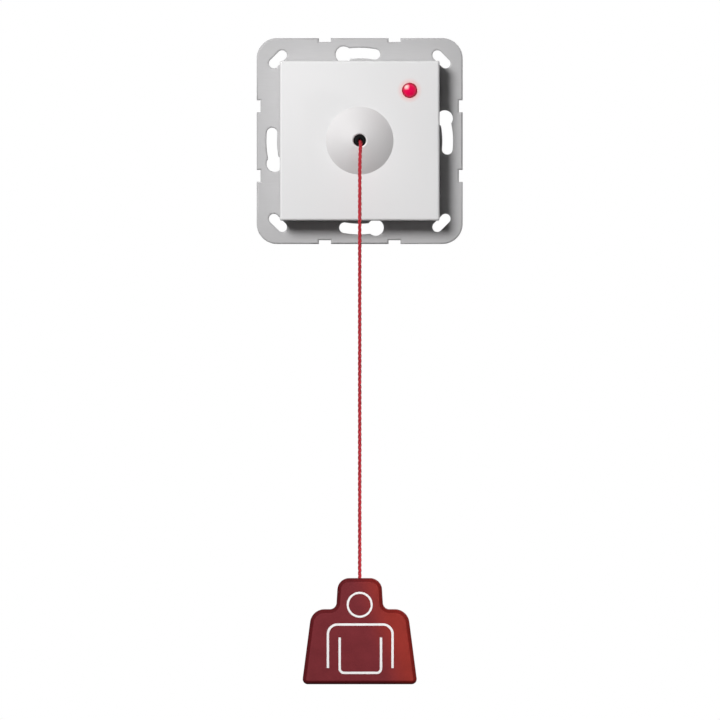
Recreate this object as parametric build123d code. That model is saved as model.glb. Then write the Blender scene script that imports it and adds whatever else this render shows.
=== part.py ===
# Flush wall call switch worked by a pull cord, in mm.
# X points right, Z up and Y into the wall. The origin is the centre of the ring's back face, on the wall.
import math
import os

from build123d import *

# Clearances
seat_gap = 0.1
slip_gap = 0.3
running_gap = 0.05

# Support ring, punched from steel sheet
ring_width = 71.0
ring_thick = 1.2
ring_corner = 7.0
opening_gap = 1.4
opening_corner = 6.0
tab_width = 12.0
tab_step = 0.4
slot_from_edge = 5.15
slot_width = 3.65
slot_head = 2.8
tall_slot_angles = (80.1, 100.4)
side_slot_angles = (-5.3, 14.9)
corner_slot_from_edge = 7.3
corner_slot_length = 7.4
corner_slot_width = 3.4
notch_place = 12.0
notch_width = 4.1
notch_depth = 1.3

# Centre plate with its dome
plate_width = 55.0
plate_face = -10.5
plate_wall = 2.0
plate_corner = 0.6
plate_edge = 0.8
skirt_wall = 1.6
skirt_end = -2.7
dome_radius = 11.65
dome_height = 5.2
dome_swell = 0.5
dome_wall = 1.8
hole_radius = 2.15
hole_lip = 0.5
nose_width = 8.0
nose_reach = 1.0

# Carrier moulding behind the plate
flange_thick = 1.5
clip_wall = 1.3
clip_width = 22.0
clip_window = 2.2
nose_depth = 3.4
spigot_depth = 2.5
spigot_wall = 1.4
guide_wall = 2.55
guide_front = -9.6
cup_wall = 1.4
rib_thick = 1.2
rib_height = 3.3

# Rear housing
housing_width = 43.2
housing_chamfer = 4.0
housing_wall = 1.8
housing_floor = 1.6
housing_back = 25.0
boss_radius = 2.8
boss_from_wall = 4.3
screw_radius = 1.4
screw_head = 2.5
screw_head_thick = 1.8
screw_length = 24.0

# Circuit board
board_front = 17.0
board_thick = 1.6
board_hole = 8.0
post_radius = 2.3
post_from_edge = 4.8
post_row = 11.2
board_screw_radius = 1.0
board_screw_head = 2.0
board_screw_head_thick = 1.2
board_screw_length = 5.0

# Plunger and return spring
travel = 5.0
shaft_radius = 3.95
plunger_front = -7.6
nose_chamfer = 0.8
collar_radius = 6.2
collar_front = 9.5
collar_thick = 2.0
plunger_back = 20.5
block_half = 3.5
ramp_start = 12.6
ramp_slope = 0.2
key_width = 1.5
key_height = 1.05
key_span = (-6.6, -1.7)
cavity_radius = 2.4
cavity_depth = 4.5
spring_wire = 0.7
spring_radius = 5.2
spring_turns = 6
post_width = 3.0

# Microswitch
case_near = 6.6
case_height = 6.5
case_length = 12.8
case_thick = 5.8
button_thick = 1.3
button_length = 3.0
button_proud = 1.3
button_depth = 2.6
pin_pitch = 5.08
pin_width = 0.9
pin_thick = 0.4
pin_drop = 2.9

# Resistors and lamp driver on the board
resistor_radius = 1.1
resistor_length = 6.0
resistor_pitch = 3.0
resistor_from_edge = 3.9
resistor_middle = -2.0
leg_thick = 0.5
leg_bend = 1.1
chip_width = 5.0
chip_length = 4.0
chip_thick = 1.6
chip_lift = 0.3
chip_from_edge = 4.2
chip_left = -4.5
chip_legs = 4
chip_pitch = 1.27
chip_leg = 0.45
chip_leg_run = 1.2

# Lamp
lamp_from_wall_x, lamp_from_wall_z = 4.4, 4.3
lamp_radius = 2.5
lamp_flange = 2.9
lamp_length = 8.6
lamp_proud = 1.9
lamp_gap = 0.15
lead_side = 0.5
lead_pitch = 2.54
spacer_rim = 3.2
spacer_shank = 2.4

# Terminal block
poles = 4
pole_pitch = 5.0
block_depth = 11.0
block_height = 10.0
block_from_wall = 1.0
wire_radius = 1.3
clamp_width = 3.4
clamp_depth = 3.2
clamp_length = 4.4
clamp_back_wall = 1.6
funnel_depth = 0.6
clamp_screw_radius = 1.5

# Pull cord
cord_radius = 0.65
cord_front = -16.6
bend_radius = 1.4
lead_out = 1.9
lead_low = -1.25
lead_end = -4.4
bore_gap = 0.15
knot_radius = 1.95
knot_length = 3.6

# Grip at the end of the cord
grip_top = -150.5
grip_height = 36.4
grip_thick = 9.0
head_half_top = 7.45
head_half_low = 8.1
head_height = 10.7
shoulder_half = 16.5
foot_half = 19.85
head_corner = 4.1
neck_corner = 2.3
shoulder_corner = 5.0
foot_corner = 1.8
grip_edge = 1.5
grip_wall = 1.8
split_edge = 0.2
knot_seat = 8.0
grip_screw_x = 12.6
grip_screw_rise = 5.4
grip_boss = 2.3
grip_screw_radius = 1.0
grip_screw_head = 1.9
grip_screw_head_thick = 1.3

# Spare cord, coiled behind the grip
coil_drop = 22.0
coil_inner = 3.9
coil_layers = 6
coil_thick = 8.0
coil_corner = 1.6
tie_width = 2.4
tie_thick = 0.6
link_drop = 7.0
link_fall = 1.7
link_in = 2.0
link_low = 2.6
link_reach = 1.2
end_in = 2.0
end_length = 8.5

# Depths and places that follow
housing_half = housing_width / 2
housing_inner = housing_half - housing_wall
opening_width = housing_width + 2 * opening_gap
slot_radius = ring_width / 2 - slot_from_edge
corner_slot_place = ring_width / 2 - corner_slot_from_edge
board_half = housing_inner - slip_gap - seat_gap
boss_place = housing_inner - boss_from_wall
post_place = board_half - post_from_edge
board_screws_at = ((-post_place, -post_place), (post_place, post_row))
lamp_x = housing_half - lamp_from_wall_x
lamp_z = housing_half - lamp_from_wall_z
block_low = -housing_inner + block_from_wall
block_high = block_low + block_height
ring_front = -ring_thick
flange_front = ring_front - flange_thick
housing_rim = -tab_step
board_back = board_front + board_thick
floor_front = housing_back - housing_floor
plate_back = plate_face + plate_wall
dome_top = plate_face - dome_height
skirt_inner = plate_width / 2 - skirt_wall
clip_outer = skirt_inner - seat_gap * 4
corner_slope = math.sqrt(2)
guide_bore = shaft_radius + running_gap
guide_outer = guide_bore + guide_wall
cup_inner = spring_radius + spring_wire / 2 + 0.4
cup_back = collar_front - travel - seat_gap
lamp_tip = plate_face - lamp_proud
lamp_base = lamp_tip + lamp_length
cord_bore = cord_radius + bore_gap
knot_front = plunger_back - cavity_depth + seat_gap
tail_front = guide_front
button_y = board_front - case_thick / 2
ramp_end = button_y + travel + button_thick
grip_front = cord_front - grip_thick / 2
grip_back = cord_front + grip_thick / 2
knot_top = grip_top - knot_seat
knot_end = knot_top - knot_length
coil_z = grip_top - coil_drop
coil_outer = coil_inner + coil_layers * cord_radius * 2
tie_gap = seat_gap
coil_front = grip_back + tie_thick + 2 * tie_gap
coil_back = coil_front + coil_thick
end_x = -(coil_outer - cord_radius)
end_depth = coil_back - end_in
end_low = coil_z - 1.0 - end_length


# Helpers for front-view outlines
def slab(outline, front, back):
    """Extrude a front-view outline from one depth to another."""
    base = Plane(origin=(0, back, 0), x_dir=(1, 0, 0), z_dir=(0, -1, 0))
    return extrude(base * outline, amount=back - front)


def disc(radius, front, back, x=0.0, z=0.0):
    """A round bar along the depth axis."""
    return slab(Pos(x, z) * Circle(radius), front, back)


def block(x_span, y_span, z_span):
    """A rectangular block between three pairs of limits."""
    spans = (x_span, y_span, z_span)
    sizes = [high - low for low, high in spans]
    middle = [(low + high) / 2 for low, high in spans]
    return Pos(*middle) * Box(*sizes)


def turned(profile):
    """Turn a profile of radius and depth about the depth axis."""
    return revolve(Plane.XY * make_face(profile), axis=Axis.Y)


def around(shape, count=4):
    """Copies of a shape turned in equal steps about the depth axis."""
    return [Rot(0, step * 360 / count, 0) * shape for step in range(count)]


def cup_outline(inset):
    """The rear housing's square with cut corners, drawn in by the same amount on every side."""
    width = housing_width - 2 * inset
    corner_run = housing_chamfer - inset * (2 - corner_slope)
    return chamfer(Rectangle(width, width).vertices(), corner_run)


def lamp_lead_places():
    reach = lead_pitch / 2 / corner_slope
    return [(lamp_x + side * reach, lamp_z - side * reach) for side in (-1, 1)]


def pole_places():
    first = -(poles - 1) / 2 * pole_pitch
    return [first + pole * pole_pitch for pole in range(poles)]


def boss_places():
    return [(-boss_place, boss_place), (boss_place, -boss_place)]


# Support ring: the punched sheet with its slots and four stepped tabs round the opening
def curved_slot(angles):
    start, head = angles
    path = CenterArc((0, 0), slot_radius, start, head - start)
    turn = math.radians(head)
    centre = Pos(slot_radius * math.cos(turn), slot_radius * math.sin(turn))
    return SlotArc(path, slot_width) + centre * Circle(slot_head)


def support_ring():
    outline = RectangleRounded(ring_width, ring_width, ring_corner)
    outline -= RectangleRounded(opening_width, opening_width, opening_corner)
    for angles in (tall_slot_angles, side_slot_angles):
        for turn in (0, 180):
            outline -= Rot(0, 0, turn) * curved_slot(angles)
    corner_slot = Pos(corner_slot_place, corner_slot_place) * Rot(0, 0, -45)
    corner_slot *= SlotOverall(corner_slot_length, corner_slot_width)
    for turn in range(0, 360, 90):
        outline -= Rot(0, 0, turn) * corner_slot
        for side in (-1, 1):
            edge = Pos(side * notch_place, (ring_width - notch_depth) / 2)
            outline -= Rot(0, 0, turn) * edge * Rectangle(notch_width, notch_depth)
    ring = slab(outline, ring_front, 0)
    tab = block(
        (housing_inner, opening_width / 2 + ring_thick),
        (ring_front, -tab_step),
        (-tab_width / 2, tab_width / 2),
    )
    for copy in around(tab):
        ring += copy
    return ring


# Centre plate: one moulding with its skirt, snap noses, dome and cord hole
def dome_profile(radius, base, top, flat):
    mid = ((radius + flat) / 2, (base + top) / 2)
    run = (radius - flat, base - top)
    length = math.hypot(*run)
    bulge = (mid[0] + run[1] / length * dome_swell, mid[1] - run[0] / length * dome_swell)
    return [
        Line((0, base), (radius, base)),
        ThreePointArc((radius, base), bulge, (flat, top)),
        Line((flat, top), (0, top)),
        Line((0, top), (0, base)),
    ]


def snap_nose():
    depth = skirt_end - nose_depth
    tip = skirt_inner - nose_reach
    profile = Polyline(
        (skirt_inner + skirt_wall / 2, depth - nose_reach),
        (skirt_inner, depth - nose_reach),
        (tip, depth),
        (tip, depth + nose_reach / 2),
        (skirt_inner, depth + nose_reach),
        (skirt_inner + skirt_wall / 2, depth + nose_reach),
        close=True,
    )
    face = Plane.XY.offset(-nose_width / 2) * make_face(profile)
    return extrude(face, amount=nose_width)


def centre_plate():
    outline = RectangleRounded(plate_width, plate_width, plate_corner)
    plate = slab(outline, plate_face, skirt_end)
    plate = fillet(plate.faces().sort_by(Axis.Y)[0].edges(), plate_edge)
    plate -= slab(Rectangle(2 * skirt_inner, 2 * skirt_inner), plate_back, skirt_end)
    flat = hole_radius + hole_lip + 0.05
    plate += turned(dome_profile(dome_radius, plate_face, dome_top, flat))
    cavity_top = dome_top + dome_wall
    plate -= turned(dome_profile(dome_radius - dome_wall, plate_back, cavity_top, flat))
    plate -= disc(hole_radius, dome_top, cavity_top)
    mouth = plate.edges().filter_by(GeomType.CIRCLE)
    mouth = [e for e in mouth if abs(e.radius - hole_radius) < 0.01 and e.center().Y < cavity_top - 0.5]
    plate = fillet(mouth, hole_lip)
    plate -= disc(lamp_radius + lamp_gap, plate_face, plate_back, lamp_x, lamp_z)
    for copy in around(snap_nose()):
        plate += copy
    return plate


# Carrier: flange on the ring, clip walls for the plate, guide tube and spring cup
def clip_walls():
    front = plate_back + slip_gap
    wall = block(
        (clip_outer - clip_wall, clip_outer),
        (front, flange_front),
        (-clip_width / 2, clip_width / 2),
    )
    middle = skirt_end - nose_depth
    half = nose_width / 2 + slip_gap
    window = block(
        (clip_outer - clip_wall, clip_outer),
        (middle - clip_window / 2 - slip_gap, middle + clip_window / 2 + slip_gap),
        (-half, half),
    )
    return around(wall - window)


def carrier():
    flange_half = plate_width / 2 - skirt_wall - slip_gap
    body = slab(RectangleRounded(2 * flange_half, 2 * flange_half, 2), flange_front, ring_front)
    spigot = cup_outline(housing_wall + slip_gap)
    spigot -= cup_outline(housing_wall + slip_gap + spigot_wall)
    body += slab(spigot, ring_front, spigot_depth)
    for wall in clip_walls():
        body += wall
    rib = block(
        (guide_bore, clip_outer - clip_wall),
        (flange_front - rib_height, flange_front),
        (-rib_thick / 2, rib_thick / 2),
    )
    for copy in around(rib):
        body += copy
    body += disc(guide_outer, guide_front, ring_front)
    body += disc(cup_inner + cup_wall, ring_front, cup_back)
    body -= disc(cup_inner, ring_front, cup_back)
    for x, z in boss_places():
        body += disc(boss_radius, ring_front, spigot_depth, x, z)
        body -= disc(screw_radius + running_gap, ring_front, spigot_depth, x, z)
    body -= disc(guide_bore, guide_front, ring_front)
    key_half = key_width / 2 + seat_gap
    key_reach = shaft_radius + key_height + seat_gap
    body -= block((-key_reach, 0), (guide_front, ring_front), (-key_half, key_half))
    body -= disc(spacer_shank + running_gap, flange_front, ring_front, lamp_x, lamp_z)
    body -= disc(spacer_shank, ring_front, spigot_depth, lamp_x, lamp_z)
    return body


# Rear housing: a moulded cup with its screw bosses, board posts and plunger stops
def housing():
    cup = slab(cup_outline(0), housing_rim, housing_back)
    cup = fillet(cup.faces().sort_by(Axis.Y)[-1].edges(), 1.2)
    cup -= slab(cup_outline(housing_wall), housing_rim, floor_front)
    for x, z in board_screws_at:
        cup += disc(post_radius, board_back, floor_front, x, z)
        cup -= disc(board_screw_radius + running_gap, board_back, floor_front, x, z)
    head_floor = housing_back - screw_head_thick
    for x, z in boss_places():
        cup += disc(boss_radius, spigot_depth + seat_gap, floor_front, x, z)
        cup -= disc(screw_radius + seat_gap, spigot_depth, housing_back, x, z)
        cup -= disc(screw_head + seat_gap, head_floor, housing_back, x, z)
    stop_low = block_half + slip_gap
    stop = block(
        (-post_width / 2, post_width / 2),
        (collar_front + collar_thick + seat_gap, floor_front),
        (stop_low, collar_radius),
    )
    for copy in around(stop, 2):
        cup += copy
    half = poles * pole_pitch / 2 + slip_gap
    cup -= block(
        (-half, half),
        (floor_front, housing_back),
        (block_low - slip_gap, block_high + slip_gap),
    )
    return cup


def cross_screw(radius, length, head_radius, head_thick, tip):
    """A pan-head screw along the depth axis, its tip at the given depth and its head to the back."""
    under = tip + length
    screw = disc(radius, tip, under) + disc(head_radius, under, under + head_thick)
    rim = screw.edges().filter_by(GeomType.CIRCLE).sort_by(Axis.Y)[-1]
    screw = fillet(rim, head_thick * 0.45)
    drive_floor = under + head_thick * 0.45
    for turn in (0, 90):
        arm = Rectangle(head_radius * 1.1, head_radius * 0.26)
        screw -= slab(Rot(0, 0, turn) * arm, drive_floor, under + head_thick)
    return chamfer(screw.edges().sort_by(Axis.Y)[0], radius * 0.4)


def housing_screws():
    tip = housing_back - screw_head_thick - screw_length
    screw = cross_screw(screw_radius, screw_length, screw_head, screw_head_thick, tip)
    return Compound([Pos(x, 0, z) * screw for x, z in boss_places()])


# Circuit board with its screws and parts
def circuit_board():
    outline = cup_outline(housing_wall + slip_gap + seat_gap)
    outline -= Circle(board_hole)
    for x, z in boss_places():
        outline -= Pos(x, z) * Circle(boss_radius + slip_gap)
    for x, z in board_screws_at:
        outline -= Pos(x, z) * Circle(board_screw_radius + seat_gap)
    for x, z in lamp_lead_places():
        outline -= Pos(x, z) * Circle(lead_side)
    for x, z in switch_pin_places():
        outline -= Pos(x, z) * Circle(pin_width / 2 + seat_gap)
    return slab(outline, board_front, board_back)


def board_screws():
    screw = cross_screw(
        board_screw_radius,
        board_screw_length,
        board_screw_head,
        board_screw_head_thick,
        0,
    )
    under = board_front
    turned_over = Pos(0, under + board_screw_length, 0) * Rot(180, 0, 0) * screw
    return Compound([Pos(x, 0, z) * turned_over for x, z in board_screws_at])


def resistors():
    """Two resistors standing off the board on their bent legs."""
    axis_depth = board_front - resistor_radius - seat_gap * 2
    half, wire = resistor_length / 2, leg_thick / 2
    parts = []
    for step in (0, 1):
        x = -board_half + resistor_from_edge + step * resistor_pitch
        body = Pos(x, axis_depth, resistor_middle) * Cylinder(resistor_radius, resistor_length)
        for side in (-1, 1):
            end = resistor_middle + side * half
            bend = end + side * leg_bend
            top = block(
                (x - wire, x + wire), (axis_depth - wire, axis_depth + wire), sorted((end, bend))
            )
            foot = block(
                (x - wire, x + wire),
                (axis_depth - wire, board_front),
                sorted((bend, bend - side * leg_thick)),
            )
            body += top + foot
        parts.append(body)
    return Compound(parts)


def lamp_driver():
    """The small chip that blinks and dims the lamp, with a row of legs on each long side."""
    top_edge = board_half - chip_from_edge
    low_edge = top_edge - chip_length
    back = board_front - chip_lift
    chip = block((chip_left, chip_left + chip_width), (back - chip_thick, back), (low_edge, top_edge))
    legs_run = (chip_legs - 1) * chip_pitch + chip_leg
    first = chip_left + (chip_width - legs_run) / 2
    for leg in range(chip_legs):
        x = first + leg * chip_pitch
        for low in (low_edge - chip_leg_run, top_edge):
            chip += block(
                (x, x + chip_leg), (back - chip_thick / 2, board_front), (low, low + chip_leg_run)
            )
    return chip


# Microswitch lying on the board, its button facing the plunger's ramp
def switch_pin_places():
    x = case_near + case_height * 0.7
    return [(x, step * pin_pitch) for step in (-1, 0, 1)]


def microswitch_case():
    half = case_length / 2
    case = block(
        (case_near, case_near + case_height),
        (board_front - case_thick, board_front),
        (-half, half),
    )
    case = chamfer(case.edges().filter_by(Axis.Y), 0.4)
    mount_x = case_near + case_height - 1.5
    for z in (-half + 1.6, half - 1.6):
        case -= disc(0.95, board_front - case_thick, board_front, mount_x, z)
    slot_half = button_thick / 2 + running_gap
    slot_long = button_length / 2 + running_gap
    case -= block(
        (case_near, case_near + button_depth + seat_gap * 2),
        (button_y - slot_half, button_y + slot_half),
        (-slot_long, slot_long),
    )
    return case


def microswitch_pins():
    pins = []
    for x, z in switch_pin_places():
        pins.append(
            block(
                (x - pin_thick / 2, x + pin_thick / 2),
                (board_front, board_front + pin_drop),
                (z - pin_width / 2, z + pin_width / 2),
            )
        )
    return Compound(pins)


def microswitch_button():
    inner = case_near + button_depth - 1.0
    tip = case_near - button_proud
    tip_radius = button_thick / 2
    button = block(
        (tip + tip_radius, inner),
        (button_y - tip_radius, button_y + tip_radius),
        (-button_length / 2, button_length / 2),
    )
    return button + Pos(tip + tip_radius, button_y, 0) * Cylinder(tip_radius, button_length)


def ramp_height(depth):
    """Where the plunger's ramp stands at a depth, so that it just meets the button at rest."""
    tip_radius = button_thick / 2
    tip_centre = case_near - button_proud + tip_radius
    steep = math.hypot(1, ramp_slope)
    at_button = tip_centre - (tip_radius + seat_gap) * steep
    return at_button + (depth - button_y) * ramp_slope


# Plunger: the shaft in the guide, the collar, and the ramp block with the knot's cavity
def plunger():
    body = disc(shaft_radius, plunger_front, collar_front)
    body = chamfer(body.edges().sort_by(Axis.Y)[0], nose_chamfer)
    body += disc(collar_radius, collar_front, collar_front + collar_thick)
    body += block(
        (-block_half, block_half),
        (collar_front, plunger_back),
        (-block_half, block_half),
    )
    low, high = ramp_height(ramp_start), ramp_height(ramp_end)
    ramp = Polyline(
        (0, ramp_start), (low, ramp_start), (high, ramp_end), (high, plunger_back), (0, plunger_back),
        close=True,
    )
    body += extrude(Plane.XY.offset(-block_half) * make_face(ramp), amount=2 * block_half)
    body += block(
        (-shaft_radius - key_height, 0), key_span, (-key_width / 2, key_width / 2)
    )
    body -= disc(cord_bore, plunger_front, plunger_back)
    body -= disc(cavity_radius, plunger_back - cavity_depth, plunger_back)
    return body


def return_spring():
    low = ring_front + seat_gap + spring_wire / 2
    high = collar_front - seat_gap - spring_wire / 2
    coil = Helix((high - low) / spring_turns, high - low, spring_radius)
    section = Plane(coil @ 0, z_dir=coil % 0) * Circle(spring_wire / 2)
    wire = sweep(section, path=coil, is_frenet=True)
    return Pos(0, low, 0) * Rot(-90, 0, 0) * wire


# Lamp on its spacer, with two long leads to the board
def lamp():
    shoulder = lamp_tip + lamp_radius
    flange_front_y = lamp_base - 1.0
    profile = [
        Line((0, lamp_base), (lamp_flange, lamp_base)),
        Line((lamp_flange, lamp_base), (lamp_flange, flange_front_y)),
        Line((lamp_flange, flange_front_y), (lamp_radius, flange_front_y)),
        Line((lamp_radius, flange_front_y), (lamp_radius, shoulder)),
        RadiusArc((lamp_radius, shoulder), (0, lamp_tip), lamp_radius),
        Line((0, lamp_tip), (0, lamp_base)),
    ]
    return Pos(lamp_x, 0, lamp_z) * turned(profile)


def lamp_leads():
    half = lead_side / 2
    leads = []
    for x, z in lamp_lead_places():
        leads.append(
            block((x - half, x + half), (lamp_base, board_back + 1.0), (z - half, z + half))
        )
    return Compound(leads)


def lamp_spacer():
    spacer = disc(spacer_rim, lamp_base, flange_front, lamp_x, lamp_z)
    spacer += disc(spacer_shank, lamp_base, ring_front, lamp_x, lamp_z)
    for x, z in lamp_lead_places():
        spacer -= disc(lead_side * 0.85, lamp_base, ring_front, x, z)
    return spacer


# Terminal block at the back, with a cage clamp and a screw in each pole
def clamp_middle():
    back = board_back + block_depth
    return back - clamp_back_wall - clamp_depth / 2, (block_low + block_high) / 2


def terminal_block():
    half = poles * pole_pitch / 2
    back = board_back + block_depth
    body = block((-half, half), (board_back, back), (block_low, block_high))
    body = chamfer(body.faces().sort_by(Axis.Y)[-1].edges(), 0.5)
    depth, height = clamp_middle()
    for x in pole_places():
        gap = seat_gap
        body -= block(
            (x - clamp_width / 2 - gap, x + clamp_width / 2 + gap),
            (depth - clamp_depth / 2 - gap, depth + clamp_depth / 2 + gap),
            (height - clamp_length / 2 - gap, height + clamp_length / 2 + gap),
        )
        mouth = Pos(x, depth, block_low + funnel_depth / 2)
        mouth *= Cone(wire_radius + funnel_depth / 2, wire_radius, funnel_depth)
        run = Pos(x, depth, (block_low + height) / 2) * Cylinder(wire_radius, height - block_low)
        body -= mouth + run
        body -= disc(clamp_screw_radius + seat_gap * 2, depth, back, x, height)
    return body


def terminal_clamps():
    depth, height = clamp_middle()
    cage = block(
        (-clamp_width / 2, clamp_width / 2),
        (depth - clamp_depth / 2, depth + clamp_depth / 2),
        (height - clamp_length / 2, height + clamp_length / 2),
    )
    cage -= block(
        (-clamp_width / 2 + 0.5, clamp_width / 2 - 0.5),
        (depth - clamp_depth / 2 + 0.5, depth + clamp_depth / 2 - 0.5),
        (height - clamp_length / 2, height + clamp_length / 2),
    )
    return Compound([Pos(x, 0, 0) * cage for x in pole_places()])


def terminal_screws():
    depth, height = clamp_middle()
    front = depth + clamp_depth / 2 + seat_gap
    back = board_back + block_depth - 0.2
    screw = disc(clamp_screw_radius, front, back)
    screw -= slab(Rectangle(2 * clamp_screw_radius, 0.5), back - 0.4, back)
    return Compound([Pos(x, 0, height) * screw for x in pole_places()])


# Pull cord: straight runs joined by arcs, with every radius printed
def cord_tube(points, radii, name):
    path = FilletPolyline(*points, radius=radii) if radii else Polyline(*points)
    start = Plane(path @ 0, z_dir=path % 0)
    tube = sweep(start * Circle(cord_radius), path=path)
    wanted = math.pi * cord_radius**2 * path.length
    print(name, "length", round(path.length, 2), "radii", [round(r, 2) for r in radii],
          "volume", round(tube.volume / wanted, 4))
    return tube


def even_radii(points):
    """For each corner the largest arc that 0.45 of its shorter run allows."""
    places = [Vector(*p) for p in points]
    radii = []
    for before, here, after in zip(places, places[1:], places[2:]):
        runs = (here - before, after - here)
        turn = math.radians(runs[0].get_angle(runs[1]))
        radii.append(0.45 * min(r.length for r in runs) / math.tan(turn / 2))
    return radii


def cord_tail():
    points = [(0, tail_front, 0), (0, knot_front, 0)]
    return cord_tube(points, [], "tail")


def cord_lead():
    points = [
        (0, tail_front, 0),
        (0, tail_front - lead_out, 0),
        (0, cord_front, lead_low),
        (0, cord_front, lead_end),
    ]
    radii = even_radii(points)
    radii[-1] = bend_radius
    return cord_tube(points, radii, "lead")


def cord_run():
    points = [(0, cord_front, lead_end), (0, cord_front, knot_top)]
    return cord_tube(points, [], "run")


def link_points():
    return [
        (0, cord_front, knot_end),
        (0, cord_front, knot_end - link_drop),
        (0, coil_front + link_in, knot_end - link_drop - link_fall),
        (0, coil_front + link_low, coil_z - coil_inner - link_reach),
    ]


def cord_link():
    points = link_points()
    return cord_tube(points, even_radii(points), "link")


def cord_end():
    points = [(end_x, end_depth, end_low + end_length), (end_x, end_depth, end_low)]
    return cord_tube(points, [], "end")


def knot(x, y, z_top):
    """A tight overhand knot as a plain barrel, hanging from its top."""
    half = knot_length / 2
    waist = Ellipse(knot_radius, half * 1.25)
    profile = (waist & Rectangle(4 * knot_radius, knot_length)) & (
        Pos(knot_radius, 0) * Rectangle(2 * knot_radius, knot_length)
    )
    barrel = revolve(Plane.XZ * profile, axis=Axis.Z)
    return Pos(x, y, z_top - half) * barrel


def stop_knot():
    return Pos(0, knot_front, 0) * Rot(90, 0, 0) * knot(0, 0, 0)


def grip_knot():
    return knot(0, cord_front, knot_top)


def end_knot():
    return knot(end_x, end_depth, end_low)


def cord_coil():
    width = coil_outer - coil_inner
    section = Pos((coil_inner + coil_outer) / 2, (coil_front + coil_back) / 2)
    section *= RectangleRounded(width, coil_thick, coil_corner)
    return Pos(0, 0, coil_z) * revolve(Plane.XY * section, axis=Axis.Y)


def coil_tie():
    inner_width = coil_outer - coil_inner + 2 * slip_gap
    inner_depth = coil_thick + 2 * tie_gap
    inner = RectangleRounded(inner_width, inner_depth, coil_corner)
    outer_corner = coil_corner + tie_thick
    outer = RectangleRounded(inner_width + 2 * tie_thick, inner_depth + 2 * tie_thick, outer_corner)
    middle = Pos((coil_inner + coil_outer) / 2, (coil_front + coil_back) / 2)
    start = Plane.XY.offset(coil_z - tie_width / 2)
    return extrude(start * middle * (outer - inner), tie_width)


# Grip: two moulded half shells round the knot, screwed together from behind
def grip_outline(inset=0.0):
    half = [
        (head_half_top, 0),
        (head_half_low, -head_height),
        (shoulder_half, -head_height),
        (foot_half, -grip_height),
    ]
    points = half + [(-x, z) for x, z in reversed(half)]
    face = make_face(Polyline(*points, close=True))
    for (x, z), radius in zip(half, (head_corner, neck_corner, shoulder_corner, foot_corner)):
        pair = [v for v in face.vertices() if math.hypot(abs(v.X) - x, v.Y - z) < 0.01]
        face = fillet(pair, radius)
    face = Pos(0, grip_top) * face
    return offset(face, -inset, kind=Kind.ARC) if inset else face


def grip_cavity():
    low = grip_top - grip_height
    top = knot_end - 0.4
    body = grip_outline(grip_wall) & Pos(0, (low + top) / 2) * Rectangle(3 * foot_half, top - low)
    chamber_top = knot_top + seat_gap
    chamber = Pos(0, (chamber_top + top) / 2) * Rectangle(2 * cavity_radius, chamber_top - top + 2)
    return body, chamber


def grip_screw_places():
    z = grip_top - grip_height + grip_screw_rise
    return [(-grip_screw_x, z), (grip_screw_x, z)]


def grip_shell(front, back, outer_face, floor):
    """One half of the grip between two depths, open towards the other half."""
    shell = slab(grip_outline(), front, back)
    ends = shell.faces().filter_by(Axis.Y).sort_by(Axis.Y)
    outside = ends[0] if outer_face < cord_front else ends[-1]
    shell = fillet(outside.edges(), grip_edge)
    split_edges = [e for e in shell.edges() if abs(e.center().Y - cord_front) < 0.01]
    shell = chamfer(split_edges, split_edge)
    body, chamber = grip_cavity()
    shell -= slab(body, min(floor, cord_front), max(floor, cord_front))
    reach = cavity_radius if floor > cord_front else -cavity_radius
    shell -= slab(chamber, min(cord_front + reach, cord_front), max(cord_front + reach, cord_front))
    channel = Pos(0, cord_front, grip_top - knot_seat / 2) * Cylinder(cord_bore, knot_seat + 1)
    return shell - channel


def grip_front_shell():
    floor = grip_front + grip_wall
    shell = grip_shell(grip_front, cord_front, grip_front, floor)
    for x, z in grip_screw_places():
        shell += disc(grip_boss, floor, cord_front, x, z)
        shell -= disc(grip_screw_radius + running_gap, floor, cord_front, x, z)
    return shell


def grip_back_shell():
    floor = grip_back - grip_wall
    shell = grip_shell(cord_front, grip_back, grip_back, floor)
    for x, z in grip_screw_places():
        shell += disc(grip_boss, cord_front, floor, x, z)
        shell -= disc(grip_screw_radius + seat_gap, cord_front, grip_back, x, z)
        head_floor = grip_back - grip_screw_head_thick
        shell -= disc(grip_screw_head + seat_gap, head_floor, grip_back, x, z)
    exit_z = (link_points()[1][2] + link_points()[2][2]) / 2
    slot = Pos(0, exit_z) * Rot(0, 0, 90) * SlotOverall(4.4, 2 * cord_bore + 0.6)
    return shell - slab(slot, floor, grip_back)


def grip_screws():
    length = grip_thick - grip_wall - grip_screw_head_thick - seat_gap * 3
    tip = grip_back - grip_screw_head_thick - length
    screw = cross_screw(grip_screw_radius, length, grip_screw_head, grip_screw_head_thick, tip)
    return Compound([Pos(x, 0, z) * screw for x, z in grip_screw_places()])


nodes = {
    "support_ring": support_ring,
    "carrier": carrier,
    "housing": housing,
    "housing_screws": housing_screws,
    "centre_plate": centre_plate,
    "circuit_board": circuit_board,
    "board_screws": board_screws,
    "resistors": resistors,
    "lamp_driver": lamp_driver,
    "microswitch_case": microswitch_case,
    "microswitch_pins": microswitch_pins,
    "microswitch_button": microswitch_button,
    "lamp": lamp,
    "lamp_leads": lamp_leads,
    "lamp_spacer": lamp_spacer,
    "terminal_block": terminal_block,
    "terminal_clamps": terminal_clamps,
    "terminal_screws": terminal_screws,
    "plunger": plunger,
    "return_spring": return_spring,
    "stop_knot": stop_knot,
    "cord_tail": cord_tail,
    "cord_lead": cord_lead,
    "cord_run": cord_run,
    "grip_knot": grip_knot,
    "cord_link": cord_link,
    "cord_coil": cord_coil,
    "coil_tie": coil_tie,
    "cord_end": cord_end,
    "end_knot": end_knot,
    "grip_front": grip_front_shell,
    "grip_back": grip_back_shell,
    "grip_screws": grip_screws,
}

os.makedirs("parts", exist_ok=True)
for name, make in nodes.items():
    export_step(make(), f"parts/{name}.step")
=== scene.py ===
import math

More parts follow.
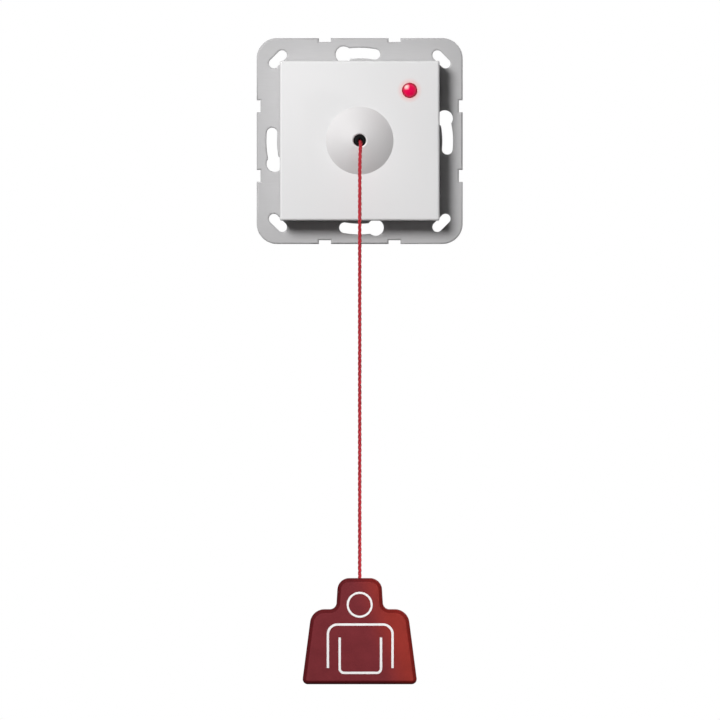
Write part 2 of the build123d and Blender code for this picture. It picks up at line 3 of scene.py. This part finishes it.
import bmesh
import bpy
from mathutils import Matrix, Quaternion, Vector


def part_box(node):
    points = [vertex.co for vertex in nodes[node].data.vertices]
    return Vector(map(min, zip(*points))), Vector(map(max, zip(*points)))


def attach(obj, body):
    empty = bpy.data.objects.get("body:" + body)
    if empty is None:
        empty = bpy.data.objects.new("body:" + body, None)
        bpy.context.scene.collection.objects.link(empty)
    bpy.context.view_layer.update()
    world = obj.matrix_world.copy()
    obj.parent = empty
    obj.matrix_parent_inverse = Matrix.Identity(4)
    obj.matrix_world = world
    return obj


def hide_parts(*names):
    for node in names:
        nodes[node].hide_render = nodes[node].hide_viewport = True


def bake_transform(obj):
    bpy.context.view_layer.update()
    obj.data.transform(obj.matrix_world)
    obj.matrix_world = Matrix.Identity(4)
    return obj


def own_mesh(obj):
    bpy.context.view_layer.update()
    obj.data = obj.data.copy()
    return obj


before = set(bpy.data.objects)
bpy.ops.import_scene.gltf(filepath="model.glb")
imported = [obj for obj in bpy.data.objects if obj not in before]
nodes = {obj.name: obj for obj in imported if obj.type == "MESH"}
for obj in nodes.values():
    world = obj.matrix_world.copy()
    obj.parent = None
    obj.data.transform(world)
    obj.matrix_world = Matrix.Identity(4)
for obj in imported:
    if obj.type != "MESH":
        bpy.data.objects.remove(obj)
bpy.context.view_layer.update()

scene = bpy.context.scene
scene.view_settings.view_transform = "Standard"


# Camera
# It stands five metres straight in front of the switch with a very long lens, so that the
# plate, the ring behind it and the grip below keep their true sizes in the picture.
camera_distance = 5.0
plate_front = -0.0105
picture_width = 0.2478  # as seen at the plate's face
picture_x, picture_z = 0.0001, -0.0755
film_width = 36
camera = bpy.data.objects.new("camera", bpy.data.cameras.new("camera"))
camera.data.sensor_width = film_width
camera.data.lens = film_width * (camera_distance + plate_front) / picture_width
camera.data.clip_end = 20
camera.location = (picture_x, -camera_distance, picture_z)
camera.rotation_euler = (math.radians(90), 0, 0)
scene.collection.objects.link(camera)
scene.camera = camera


# Studio
# One soft lamp above and to the left gives the plate its shadow on the ring, and two light the
# back and the right side. Weak ones round off the ring, the cone and the grip, and the
# surroundings are white where seen.
def studio_lamp(name, place, aim, size, power, colour=(1, 1, 1), spread=180):
    """A round soft lamp that shines from its place towards its aim."""
    lamp = bpy.data.objects.new(name, bpy.data.lights.new(name, "AREA"))
    lamp.data.shape = "DISK"
    lamp.data.size = size
    lamp.data.energy = power
    lamp.data.color = colour
    lamp.data.spread = math.radians(spread)
    lamp.location = place
    lamp.rotation_mode = "QUATERNION"
    lamp.rotation_quaternion = (Vector(aim) - Vector(place)).to_track_quat("-Z", "Y")
    scene.collection.objects.link(lamp)
    return lamp


key_lamp = studio_lamp("key_lamp", (-0.218, -0.460, 0.219), (0, 0, -0.06), size=0.205, power=3.2)
studio_lamp("fill_lamp", (0.6, -1.0, -0.5), (0, 0, -0.14), size=0.5, power=0.07,
            colour=(1.0, 0.95, 0.91))
studio_lamp("back_lamp", (0.5, 0.9, 0.5), (0, 0, -0.05), size=0.5, power=5.0)
studio_lamp("side_lamp", (1.1, 0.30, 0.05), (0, 0, -0.05), size=0.5, power=2.2)
studio_lamp("grip_lamp", (0.20, -0.34, -0.02), (0, 0, -0.172), size=0.06, power=0.013,
            colour=(1.0, 0.97, 0.95), spread=24)
studio_lamp("cone_lamp", (0.24, -0.10, -0.24), (0, -0.013, 0), size=0.02, power=0.0004,
            colour=(1.0, 0.98, 0.98), spread=8)


def set_sockets(node, sockets):
    """Link each of a node's sockets to another's output, or give it a value."""
    for label, value in sockets.items():
        if isinstance(value, bpy.types.NodeSocket):
            node.id_data.links.new(value, node.inputs[label])
        else:
            node.inputs[label].default_value = value


def add_node(tree, kind, sockets=None, **settings):
    """A new shader node with its settings made and its sockets filled."""
    node = tree.nodes.new(kind)
    for label, value in settings.items():
        setattr(node, label, value)
    set_sockets(node, sockets or {})
    return node


unseen_light = 0.015
surroundings = bpy.data.worlds.new("surroundings")
scene.world = surroundings
surroundings.use_nodes = True
tree = surroundings.node_tree
tree.nodes.clear()
rays = add_node(tree, "ShaderNodeLightPath").outputs
seen = add_node(tree, "ShaderNodeMath", {
    0: rays["Is Camera Ray"], 1: rays["Is Glossy Ray"],
}, operation="MAXIMUM")
seen_through = add_node(tree, "ShaderNodeMath", {
    0: seen.outputs[0], 1: rays["Is Transmission Ray"],
}, operation="MAXIMUM")
strength = add_node(tree, "ShaderNodeMapRange", {
    "Value": seen_through.outputs[0], "To Min": unseen_light,
})
white = add_node(tree, "ShaderNodeBackground", {
    "Color": (1, 1, 1, 1), "Strength": strength.outputs["Result"],
})
add_node(tree, "ShaderNodeOutputWorld", {"Surface": white.outputs[0]})


# Floor
# A round pale table top, well below the grip and out of the picture. It throws little light
# back up, so that the plate's shadow on the ring stays deep.
def plain_material(name, colour, roughness):
    material = bpy.data.materials.new(name)
    material.use_nodes = True
    shader = material.node_tree.nodes["Principled BSDF"]
    set_sockets(shader, {"Base Color": (*colour, 1), "Roughness": roughness})
    return material, shader


def linked(name, mesh, material):
    """A piece of the scene from a finished mesh."""
    piece = bpy.data.objects.new(name, mesh)
    piece.data.materials.append(material)
    scene.collection.objects.link(piece)
    return piece


floor_radius, floor_height = 0.6, -0.4
floor_grey, floor_bounce, floor_glow = 0.8, 0.2, 0.45
floor_mesh = bpy.data.meshes.new("floor")
shape = bmesh.new()
bmesh.ops.create_circle(shape, cap_ends=True, segments=96, radius=floor_radius)
bmesh.ops.translate(shape, vec=(0, 0, floor_height), verts=shape.verts)
shape.to_mesh(floor_mesh)
shape.free()
pale_floor, shader = plain_material("pale_floor", (floor_grey,) * 3, 0.8)
tree = pale_floor.node_tree
rays = add_node(tree, "ShaderNodeLightPath").outputs
dull = add_node(tree, "ShaderNodeMapRange", {
    "Value": rays["Is Diffuse Ray"], "To Min": floor_grey, "To Max": floor_bounce,
})
lit = add_node(tree, "ShaderNodeMapRange", {"Value": rays["Is Camera Ray"], "To Max": floor_glow})
set_sockets(shader, {
    "Base Color": dull.outputs["Result"],
    "Emission Color": lit.outputs["Result"],
    "Emission Strength": 1.0,
})
linked("floor", floor_mesh, pale_floor)


# Support ring
# Steel sheet, 1.2 mm thick, punched, dull zinc-plated and lightly broken at its edges. The
# machine screws of the wall box go through its slots.
def uneven_group(name):
    """The fine tooth and slight unevenness of tone that every moulded or plated surface has."""
    group = bpy.data.node_groups.new(name, "ShaderNodeTree")
    interface = group.interface
    for label, kind, value in (
        ("Colour", "NodeSocketColor", (0.5, 0.5, 0.5, 1)),
        ("Tone", "NodeSocketFloat", 0.1),
        ("Patch Scale", "NodeSocketFloat", 60.0),
        ("Grain Scale", "NodeSocketFloat", 2500.0),
        ("Stretch", "NodeSocketVector", (1, 1, 1)),
    ):
        interface.new_socket(label, in_out="INPUT", socket_type=kind).default_value = value
    for label, kind in (
        ("Colour", "NodeSocketColor"),
        ("Height", "NodeSocketFloat"),
        ("Patches", "NodeSocketFloat"),
    ):
        interface.new_socket(label, in_out="OUTPUT", socket_type=kind)
    given = add_node(group, "NodeGroupInput").outputs
    place = add_node(group, "ShaderNodeTexCoord").outputs["Object"]
    drawn = add_node(group, "ShaderNodeVectorMath", {
        0: place, 1: given["Stretch"],
    }, operation="MULTIPLY").outputs[0]
    patches = add_node(group, "ShaderNodeTexNoise", {
        "Vector": place, "Scale": given["Patch Scale"], "Detail": 3,
    }).outputs["Fac"]
    grain = add_node(group, "ShaderNodeTexNoise", {
        "Vector": drawn, "Scale": given["Grain Scale"], "Detail": 2,
    }).outputs["Fac"]
    both = add_node(group, "ShaderNodeMath", {0: patches, 1: grain}, operation="ADD").outputs[0]
    centred = add_node(group, "ShaderNodeMath", {0: both, 1: 1.0}, operation="SUBTRACT").outputs[0]
    toned = add_node(group, "ShaderNodeMath", {
        0: centred, 1: given["Tone"],
    }, operation="MULTIPLY").outputs[0]
    lifted = add_node(group, "ShaderNodeMath", {0: toned, 1: 1.0}, operation="ADD").outputs[0]
    shaded = add_node(group, "ShaderNodeVectorMath", {
        0: given["Colour"], "Scale": lifted,
    }, operation="SCALE").outputs[0]
    add_node(group, "NodeGroupOutput", {"Colour": shaded, "Height": grain, "Patches": patches})
    return group


uneven = uneven_group("uneven_surface")


def finish_material(name, colour, roughness, tone=0.1, patch=60, grain=2500, depth=0.02,
                    stretch=(1, 1, 1), metallic=0.0, coat=0.0, ior=1.5):
    """A material with an uneven tone, a roughness that follows it, and a fine bump in mm."""
    material, shader = plain_material(name, colour, roughness)
    tree = material.node_tree
    surface = add_node(tree, "ShaderNodeGroup", {
        "Colour": (*colour, 1),
        "Tone": tone,
        "Patch Scale": patch,
        "Grain Scale": grain,
        "Stretch": stretch,
    }, node_tree=uneven).outputs
    bump = add_node(tree, "ShaderNodeBump", {
        "Strength": 1.0, "Distance": depth * 0.001, "Height": surface["Height"],
    })
    rough = add_node(tree, "ShaderNodeMapRange", {
        "Value": surface["Patches"], "To Min": roughness * 0.85, "To Max": roughness * 1.15,
    })
    set_sockets(shader, {
        "Base Color": surface["Colour"],
        "Roughness": rough.outputs["Result"],
        "Normal": bump.outputs["Normal"],
        "Metallic": metallic,
        "IOR": ior,
        "Coat Weight": coat,
        "Coat Roughness": 0.05,
    })
    return material


def merged(name):
    """A CAD node's mesh with its loose triangles joined, to be shaped further."""
    shape = bmesh.new()
    shape.from_mesh(nodes[name].data)
    bmesh.ops.remove_doubles(shape, verts=shape.verts, dist=2e-6)
    return shape


sharp_edge = math.radians(35)


def finished_mesh(name, shape, flat_faces=False):
    """The shape as a mesh, smooth but for its sharp edges and, if told, its square faces."""
    for face in shape.faces:
        square = max(abs(n) for n in face.normal) >= 0.999
        face.smooth = not (flat_faces and square)
    for edge in shape.edges:
        edge.smooth = edge.calc_face_angle(0) < sharp_edge
    mesh = bpy.data.meshes.new(name)
    shape.to_mesh(mesh)
    shape.free()
    return mesh


def broken_rims(name, width):
    """A CAD node's sheet with the rims of its front and back faces rounded."""
    shape = merged(name)
    bmesh.ops.dissolve_limit(
        shape, angle_limit=math.radians(1), verts=shape.verts, edges=shape.edges
    )
    rims = [
        e for e in shape.edges
        if e.calc_face_angle(0) > sharp_edge and abs(e.verts[0].co.y - e.verts[1].co.y) < 1e-5
    ]
    bmesh.ops.bevel(
        shape, geom=rims, offset=width, offset_type="OFFSET", segments=2,
        profile=0.5, affect="EDGES", material=-1, clamp_overlap=False,
    )
    return finished_mesh(name, shape, flat_faces=True)


ring_steel = finish_material("ring_steel", (0.52, 0.515, 0.52), 0.55, tone=0.08, patch=45,
                             grain=3500, depth=0.012, stretch=(0.06, 1, 1), metallic=0.02,
                             ior=1.2)
rim_width = 0.0005
ring = linked("ring_sheet", broken_rims("support_ring", rim_width), ring_steel)
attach(ring, "switch")
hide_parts("support_ring")


# Carrier
# Glass-filled black moulding behind the plate. Its flange lies on the ring, its walls hold
# the plate's snap noses and its middle tube guides the plunger.
def dress(material, *names):
    """Give CAD nodes that stay as they are their own material."""
    for name in names:
        nodes[name].data.materials.clear()
        nodes[name].data.materials.append(material)


carrier_black = finish_material("carrier_black", (0.03, 0.03, 0.03), 0.55, tone=0.3,
                                patch=90, grain=3000)
dress(carrier_black, "carrier", "lamp_spacer")


# Rear housing and its screws
# A dark grey moulded cup that sits in the wall box. Two zinc-plated screws from the back draw
# it and the carrier together with the ring between them.
housing_grey = finish_material("housing_grey", (0.16, 0.17, 0.18), 0.5, tone=0.25,
                               patch=70, grain=2600, depth=0.03)
screw_steel = finish_material("screw_steel", (0.55, 0.55, 0.56), 0.35, tone=0.12,
                              patch=300, grain=6000, depth=0.01, metallic=1.0)
dress(housing_grey, "housing")
dress(screw_steel, "housing_screws", "board_screws", "terminal_screws", "grip_screws")


# Circuit board and its parts
# Green glass-fibre board, held by two small screws. It carries the microswitch, two lacquered
# resistors and the chip that blinks the lamp.
board_green = finish_material("board_green", (0.02, 0.18, 0.08), 0.4, tone=0.3,
                              patch=220, grain=900, coat=0.3)
resistor_tan = finish_material("resistor_tan", (0.72, 0.55, 0.36), 0.4, tone=0.15, patch=400,
                               coat=0.3)
chip_black = finish_material("chip_black", (0.02, 0.02, 0.02), 0.5, tone=0.3, patch=300,
                             grain=5000, depth=0.01)
switch_black = finish_material("switch_black", (0.03, 0.03, 0.035), 0.42, tone=0.3,
                               patch=250, grain=4000, depth=0.01)
button_red = finish_material("button_red", (0.5, 0.05, 0.04), 0.4, tone=0.15, patch=400)
tinned_metal = finish_material("tinned_metal", (0.75, 0.75, 0.74), 0.3, patch=500,
                               grain=5000, depth=0.01, metallic=1.0)
dress(board_green, "circuit_board")
dress(resistor_tan, "resistors")
dress(chip_black, "lamp_driver")
dress(switch_black, "microswitch_case")
dress(button_red, "microswitch_button")
dress(tinned_metal, "microswitch_pins", "lamp_leads", "terminal_clamps")


# Terminal block
# Light grey moulding with four cage clamps, entered from below and screwed from the back. It
# stands on the circuit board and reaches out through the housing's back.
block_grey = finish_material("block_grey", (0.45, 0.46, 0.47), 0.5, tone=0.12, patch=120,
                             grain=2600)
dress(block_grey, "terminal_block")


# Plunger and return spring
# The cord draws the black acetal plunger forward against the wire spring, and the plunger's
# ramp presses the microswitch. The spring shortens towards its seat as the collar comes up.
plunger_black = finish_material("plunger_black", (0.015, 0.015, 0.015), 0.4, tone=0.3,
                                patch=200, grain=3500, depth=0.01)
spring_steel = finish_material("spring_steel", (0.5, 0.5, 0.5), 0.3, patch=600,
                               grain=5000, depth=0.005, metallic=1.0)
dress(plunger_black, "plunger")

spring = linked("spring_wire", finished_mesh("spring_wire", merged("return_spring")), spring_steel)
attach(spring, "switch")
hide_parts("return_spring")
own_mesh(spring)


# Lamp
# A 5 mm light-emitting diode of clear-cast red resin that glows through its own dome. It
# stands on a black spacer, and its two leads reach back to the board.
def facing_wall(tree, place):
    """How squarely each face looks at the front or the back, from 0 to 1."""
    normal = add_node(tree, "ShaderNodeSeparateXYZ", {0: place["Normal"]}).outputs
    return add_node(tree, "ShaderNodeMath", {0: normal["Y"]}, operation="ABSOLUTE").outputs[0]


def overlaid(tree, share, under, over, blend="MIX"):
    """One colour laid over another by a share."""
    return add_node(tree, "ShaderNodeMix", {
        "Factor": share, "A": under, "B": over,
    }, data_type="RGBA", blend_type=blend).outputs["Result"]


def near(tree, place, middle, within, beyond):
    """Full up to one distance from a middle, fading to none at another."""
    away = add_node(tree, "ShaderNodeVectorMath", {0: place, 1: middle}, operation="DISTANCE")
    return add_node(tree, "ShaderNodeMapRange", {
        "Value": away.outputs["Value"],
        "From Min": within,
        "From Max": beyond,
        "To Min": 1.0,
        "To Max": 0.0,
    }, interpolation_type="SMOOTHSTEP").outputs["Result"]


lamp_low, lamp_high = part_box("lamp")
lamp_x, lamp_z = (lamp_low[0] + lamp_high[0]) / 2, (lamp_low[2] + lamp_high[2]) / 2
# A pale spot up and to the left on the dome is a painted highlight, laid into the lamp's glow.
painted_highlight_place = (lamp_x - 0.00105, lamp_low[1] + 0.0007, lamp_z + 0.00115)
lamp_red = finish_material("lamp_red", (0.30, 0.0, 0.03), 0.09, tone=0.06, patch=900,
                           grain=3000, depth=0.0)
tree = lamp_red.node_tree
place = add_node(tree, "ShaderNodeTexCoord").outputs
dim_edge = add_node(tree, "ShaderNodeMapRange", {
    "Value": facing_wall(tree, place), "From Min": 0.15, "From Max": 0.75, "To Min": 0.05,
})
glowing = add_node(tree, "ShaderNodeVectorMath", {
    0: (0.95, 0.0, 0.07), "Scale": dim_edge.outputs["Result"],
}, operation="SCALE")
# The painted highlight: the glow turns pale pink round that spot.
painted_highlight = near(tree, place["Object"], painted_highlight_place, 0.0002, 0.0013)
set_sockets(tree.nodes["Principled BSDF"], {
    "Emission Color": overlaid(tree, painted_highlight, glowing.outputs[0], (1.6, 1.35, 1.25, 1)),
    "Emission Strength": 0.52,
    "Specular Tint": (1.0, 0.12, 0.3, 1),
})
dress(lamp_red, "lamp")


# Centre plate
# Satin white moulding, 55 mm square, with a shallow cone for the cord. It snaps on to the
# carrier and holds the surround in place. The lamp's glow round the lamp's hole is painted on
# as a pink tint, and the cone is painted a shade darker as painted shade.
plate_white = finish_material("plate_white", (0.795, 0.79, 0.793), 0.62, tone=0.02, patch=40,
                              grain=3800, depth=0.01)
tree = plate_white.node_tree
shader = tree.nodes["Principled BSDF"]
place = add_node(tree, "ShaderNodeTexCoord").outputs["Object"]
# The lamp's red glow on the plate round its hole is painted on as a pink tint, as painted light.
painted_glow_mask = near(tree, place, (lamp_x, plate_front, lamp_z), 0.0024, 0.0046)
painted_glow_colour = overlaid(
    tree, painted_glow_mask, shader.inputs["Base Color"].links[0].from_socket, (0.85, 0.60, 0.58, 1)
)
# The cone's colour is made a shade darker all over as painted shade, which tones down its lit
# side.
flattened = add_node(tree, "ShaderNodeVectorMath", {0: place, 1: (1, 0, 1)}, operation="MULTIPLY")
from_hole = add_node(tree, "ShaderNodeVectorMath", {0: flattened.outputs[0]}, operation="LENGTH")
cone_radius, cone_blend = 0.01165, 0.0001
on_cone = add_node(tree, "ShaderNodeMapRange", {
    "Value": from_hole.outputs["Value"],
    "From Min": cone_radius - cone_blend,
    "From Max": cone_radius + cone_blend,
    "To Min": 1.0,
    "To Max": 0.0,
})
cone_painted_shade = overlaid(tree, on_cone.outputs["Result"], painted_glow_colour, (0.895, 0.88, 0.88, 1), "MULTIPLY")
set_sockets(shader, {"Base Color": cone_painted_shade})
dress(plate_white, "centre_plate")


# Pull cord
# Red polyester, three strands laid to 1.3 mm and about two metres long. It comes out of the
# cone's hole, hangs over its lip and runs knotted through the grip, behind which the spare
# length is wound in a round coil.
cord_thick = 0.0013
guide_end = -0.0096
hang = -0.0166
lip_low, bend_low = -0.0044, -0.045
route = [
    (0, guide_end, 0), (0.0003, -0.0118, -0.0002), (0.0004, hang, -0.0016),
    (0.0001, hang, lip_low), (0, hang, -0.0125), (0, hang, -0.151),
    (0, hang, -0.1585), (0, hang, -0.1621), (0, hang, -0.1691), (0, -0.0093, -0.1708),
    (-0.0026, -0.0069, -0.1725), (-0.0022, -0.0047, -0.1759),
]

coil_middle, coil_start = -0.1725, 315
turn_points = 16
layers, layer_turns, wound_turns = 6, 5.6, 33.625
shifts, first_shift, shift_run = 5, 0.6, 0.2
inner_turn = 0.00455
slot_front, slot_step = -0.01065, 0.00134


def eased(value):
    """A soft rise from 0 to 1 for a turn's shift to the next slot or layer."""
    value = min(max(value, 0.0), 1.0)
    return value * value * (3 - 2 * value)


for step in range(int(wound_turns * turn_points) + 1):
    wound = step / turn_points
    layer = int(wound / layer_turns)
    since = wound - layer * layer_turns
    across = sum(eased((since - first_shift - shift) / shift_run) for shift in range(shifts))
    climb = eased((since - layer_turns + shift_run) / shift_run) if layer < layers - 1 else 0
    reach = (inner_turn + (layer + climb) * cord_thick) / math.cos(math.pi / turn_points)
    slot = across if layer % 2 else shifts - across
    turned = math.radians(coil_start) + math.tau * wound
    route.append((
        reach * math.cos(turned),
        slot_front + slot * slot_step,
        coil_middle + reach * math.sin(turned),
    ))
route += [
    (-0.01105, -0.0040, -0.1764), (-0.01105, -0.0053, -0.1798),
    (-0.01105, -0.0053, -0.1820), (-0.01105, -0.0053, -0.1856),
]


def drawn_line(name, points):
    """The points along the smooth line that a route of control points gives."""
    curve = bpy.data.curves.new(name, "CURVE")
    curve.dimensions = "3D"
    curve.resolution_u = 6
    spline = curve.splines.new("NURBS")
    spline.points.add(len(points) - 1)
    for point, place in zip(spline.points, points):
        point.co = (*place, 1)
    spline.order_u = 3
    spline.use_endpoint_u = True
    holder = bpy.data.objects.new(name, curve)
    line = bpy.data.meshes.new_from_object(holder)
    places = [v.co.copy() for v in line.vertices]
    bpy.data.objects.remove(holder)
    bpy.data.curves.remove(curve)
    bpy.data.meshes.remove(line)
    return places


def evenly(places, steps):
    """Walk along a line, each step as long as the given rule says for the way gone."""
    walked, gone, target = [places[0]], 0.0, steps(0.0)
    for here, after in zip(places, places[1:]):
        run = (after - here).length
        while gone + run >= target and run > 0:
            walked.append(here.lerp(after, (target - gone) / run))
            target += steps(target)
        gone += run
    walked.append(places[-1])
    return walked, gone


def laid_strands(name, walked, strands=3, lay=0.0054, off=0.00034, thick=0.00031,
                 crown=0.00063, groove_depth=0.00022):
    """Twisted strands round a line, as one mesh that knows each point's groove depth for painted
    shade.
    """
    curve = bpy.data.curves.new(name, "CURVE")
    curve.dimensions = "3D"
    curve.bevel_depth = thick
    curve.bevel_resolution = 1
    curve.use_fill_caps = True
    side = Vector((1, 0, 0))
    gone, rings = 0.0, []
    for index, here in enumerate(walked):
        along = (walked[min(index + 1, len(walked) - 1)] - walked[max(index - 1, 0)]).normalized()
        side = (side - along * side.dot(along)).normalized()
        if index:
            gone += (here - walked[index - 1]).length
        rings.append([
            here + Quaternion(along, math.tau * (gone / lay + s / strands)) @ side * off
            for s in range(strands)
        ])
    for strand in range(strands):
        spline = curve.splines.new("POLY")
        spline.points.add(len(rings) - 1)
        for point, ring_places in zip(spline.points, rings):
            point.co = (*ring_places[strand], 1)
    holder = bpy.data.objects.new(name, curve)
    mesh = bpy.data.meshes.new_from_object(holder)
    mesh.name = name
    bpy.data.objects.remove(holder)
    bpy.data.curves.remove(curve)
    for face in mesh.polygons:
        face.use_smooth = True
    around = len(mesh.vertices) // (strands * len(walked))
    depths = []
    for vertex in mesh.vertices:
        out = (vertex.co - walked[vertex.index // around % len(walked)]).length
        depths.append(min(max((crown - out) / groove_depth, 0), 1))
    mesh.attributes.new("groove", "FLOAT", "POINT").data.foreach_set("value", depths)
    return mesh


cord_red = finish_material("cord_red", (0.52, 0.030, 0.045), 0.7, tone=0.5, patch=900,
                           grain=5200, depth=0.06, ior=1.35)
tree = cord_red.node_tree
shader = tree.nodes["Principled BSDF"]
# The grooves between the strands are darkened in the base colour as painted shade, because the
# cord throws no shadow of the main lamp on itself.
groove = add_node(tree, "ShaderNodeAttribute", attribute_name="groove")
painted_groove_shade = add_node(tree, "ShaderNodeMapRange", {
    "Value": groove.outputs["Fac"], "To Min": 1.0, "To Max": 0.12,
})
shaded = add_node(tree, "ShaderNodeVectorMath", {
    0: shader.inputs["Base Color"].links[0].from_socket, "Scale": painted_groove_shade.outputs["Result"],
}, operation="SCALE")
set_sockets(shader, {
    "Base Color": shaded.outputs[0],
    "Sheen Weight": 0.15,
    "Sheen Roughness": 0.4,
    "Sheen Tint": (0.9, 0.35, 0.35, 1),
})

seen_length, seen_step, wound_step = 0.19, 0.0003, 0.0006
walked, cord_long = evenly(
    drawn_line("cord_route", route), lambda gone: seen_step if gone < seen_length else wound_step
)
cord = linked("cord", laid_strands("cord", walked), cord_red)
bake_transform(cord)
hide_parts("cord_lead", "cord_run", "cord_link", "cord_coil", "cord_end")
dress(cord_red, "cord_tail", "stop_knot", "grip_knot", "end_knot")
# The photograph shows hardly any shadow of the cord on the plate, so the main lamp passes
# the cord by.
thin_cord = bpy.data.collections.new("thin_cord")
thin_cord.objects.link(cord)
thin_cord.collection_objects[0].light_linking.link_state = "EXCLUDE"
key_lamp.light_linking.blocker_collection = thin_cord


# Tie round the coil
# A strip of smooth black plastic, drawn tight round the turns on one side, that keeps the
# spare cord wound.
tie_black = finish_material("tie_black", (0.04, 0.04, 0.04), 0.4, tone=0.2, patch=300,
                            grain=3000, depth=0.01)
dress(tie_black, "coil_tie")


# Grip
# Two red moulded half shells, screwed together from behind round the cord's knot. The rounded
# border is painted darker than the face as painted shade, and the right side is painted warmer
# and lighter as painted light.
grip_red = finish_material("grip_red", (0.20, 0.029, 0.031), 0.6, tone=0.34, patch=260,
                           depth=0.03, grain=2600, ior=1.12)
tree = grip_red.node_tree
shader = tree.nodes["Principled BSDF"]
place = add_node(tree, "ShaderNodeTexCoord").outputs
# The rounded border, which turns away from the front, is painted darker as painted shade.
unshaded_face_mask = add_node(tree, "ShaderNodeMapRange", {
    "Value": facing_wall(tree, place), "From Min": 0.965, "From Max": 0.9995,
}, interpolation_type="SMOOTHSTEP")
# The right side and the head are painted warmer and lighter as painted light, and the left side
# cooler and dimmer.
slanted = add_node(tree, "ShaderNodeVectorMath", {
    0: place["Object"], 1: (1, 0, 0.31),
}, operation="DOT_PRODUCT")
painted_light_side = add_node(tree, "ShaderNodeMapRange", {
    "Value": slanted.outputs["Value"], "From Min": -0.0505, "From Max": -0.0385,
}, interpolation_type="SMOOTHSTEP")
painted_warm_light = overlaid(tree, painted_light_side.outputs["Result"], (0.95, 0.98, 1.12, 1), (1.6, 1.25, 0.9, 1))
painted_shade_border = overlaid(tree, unshaded_face_mask.outputs["Result"], (0.58, 0.36, 0.38, 1), (1, 1, 1, 1))
painted_light_colour = overlaid(
    tree, 1, shader.inputs["Base Color"].links[0].from_socket, painted_warm_light, "MULTIPLY"
)
set_sockets(shader, {"Base Color": overlaid(tree, 1, painted_light_colour, painted_shade_border, "MULTIPLY")})
dress(grip_red, "grip_front", "grip_back")


# Person sign on the grip
# The usual outline of a person, a head and two bent lines. It is printed in white paint on
# the front shell, 0.03 mm thick.
print_white = finish_material("print_white", (0.92, 0.91, 0.91), 0.5, tone=0.03, patch=300,
                              grain=4000, depth=0.005)
grip_face, grip_top = -0.0211, -0.1505
paint_depth, paint_height = 0.00002, 0.00003
body_line, head_line = 0.00080, 0.00070


def stroke(shape, width, start, heading, moves):
    """Sweep a flat section from a start along runs, and turns of a radius and an angle."""
    turned = math.radians(heading)
    side = Vector((-math.sin(turned), 0, math.cos(turned))) * width / 2
    place = Vector(start)
    corners = (-1, paint_depth), (1, paint_depth), (1, -paint_height), (-1, -paint_height)
    face = shape.faces.new([
        shape.verts.new(place + side * a + Vector((0, depth, 0))) for a, depth in corners
    ])
    for length, radius, angle in moves:
        along = Vector((math.cos(turned), 0, math.sin(turned)))
        if length:
            made = bmesh.ops.extrude_face_region(shape, geom=[face])["geom"]
            moved = [g for g in made if isinstance(g, bmesh.types.BMVert)]
            bmesh.ops.translate(shape, vec=along * length, verts=moved)
            face = next(g for g in made if isinstance(g, bmesh.types.BMFace))
            place += along * length
        if angle:
            left = 1 if angle > 0 else -1
            middle = place + Vector((-math.sin(turned), 0, math.cos(turned))) * radius * left
            made = bmesh.ops.spin(
                shape, geom=[face], cent=middle, axis=(0, -1, 0), angle=math.radians(angle),
                steps=max(6, int(abs(angle) / 6)), use_merge=False,
            )["geom_last"]
            face = next(g for g in made if isinstance(g, bmesh.types.BMFace))
            turned += math.radians(angle)
            place = face.calc_center_median()
            place.y = grip_face


sign_mesh = bpy.data.meshes.new("person_sign")
shape = bmesh.new()
stroke(shape, body_line, (-0.01092, grip_face, grip_top - 0.0308), 90, (
    (0.01165, 0.0033, -90), (0.0156, 0.0033, -90), (0.01165, 0, 0),
))
stroke(shape, body_line, (-0.00688, grip_face, grip_top - 0.0203), -90, (
    (0.01065, 0.0015, 90), (0.0112, 0.0015, 90), (0.01065, 0, 0),
))
stroke(shape, head_line, (0, grip_face, grip_top - 0.01315), 0, ((0, 0.0041, 359.99),))
bmesh.ops.recalc_face_normals(shape, faces=shape.faces)
shape.to_mesh(sign_mesh)
shape.free()
sign = linked("person_sign", sign_mesh, print_white)
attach(sign, "pull_cord")
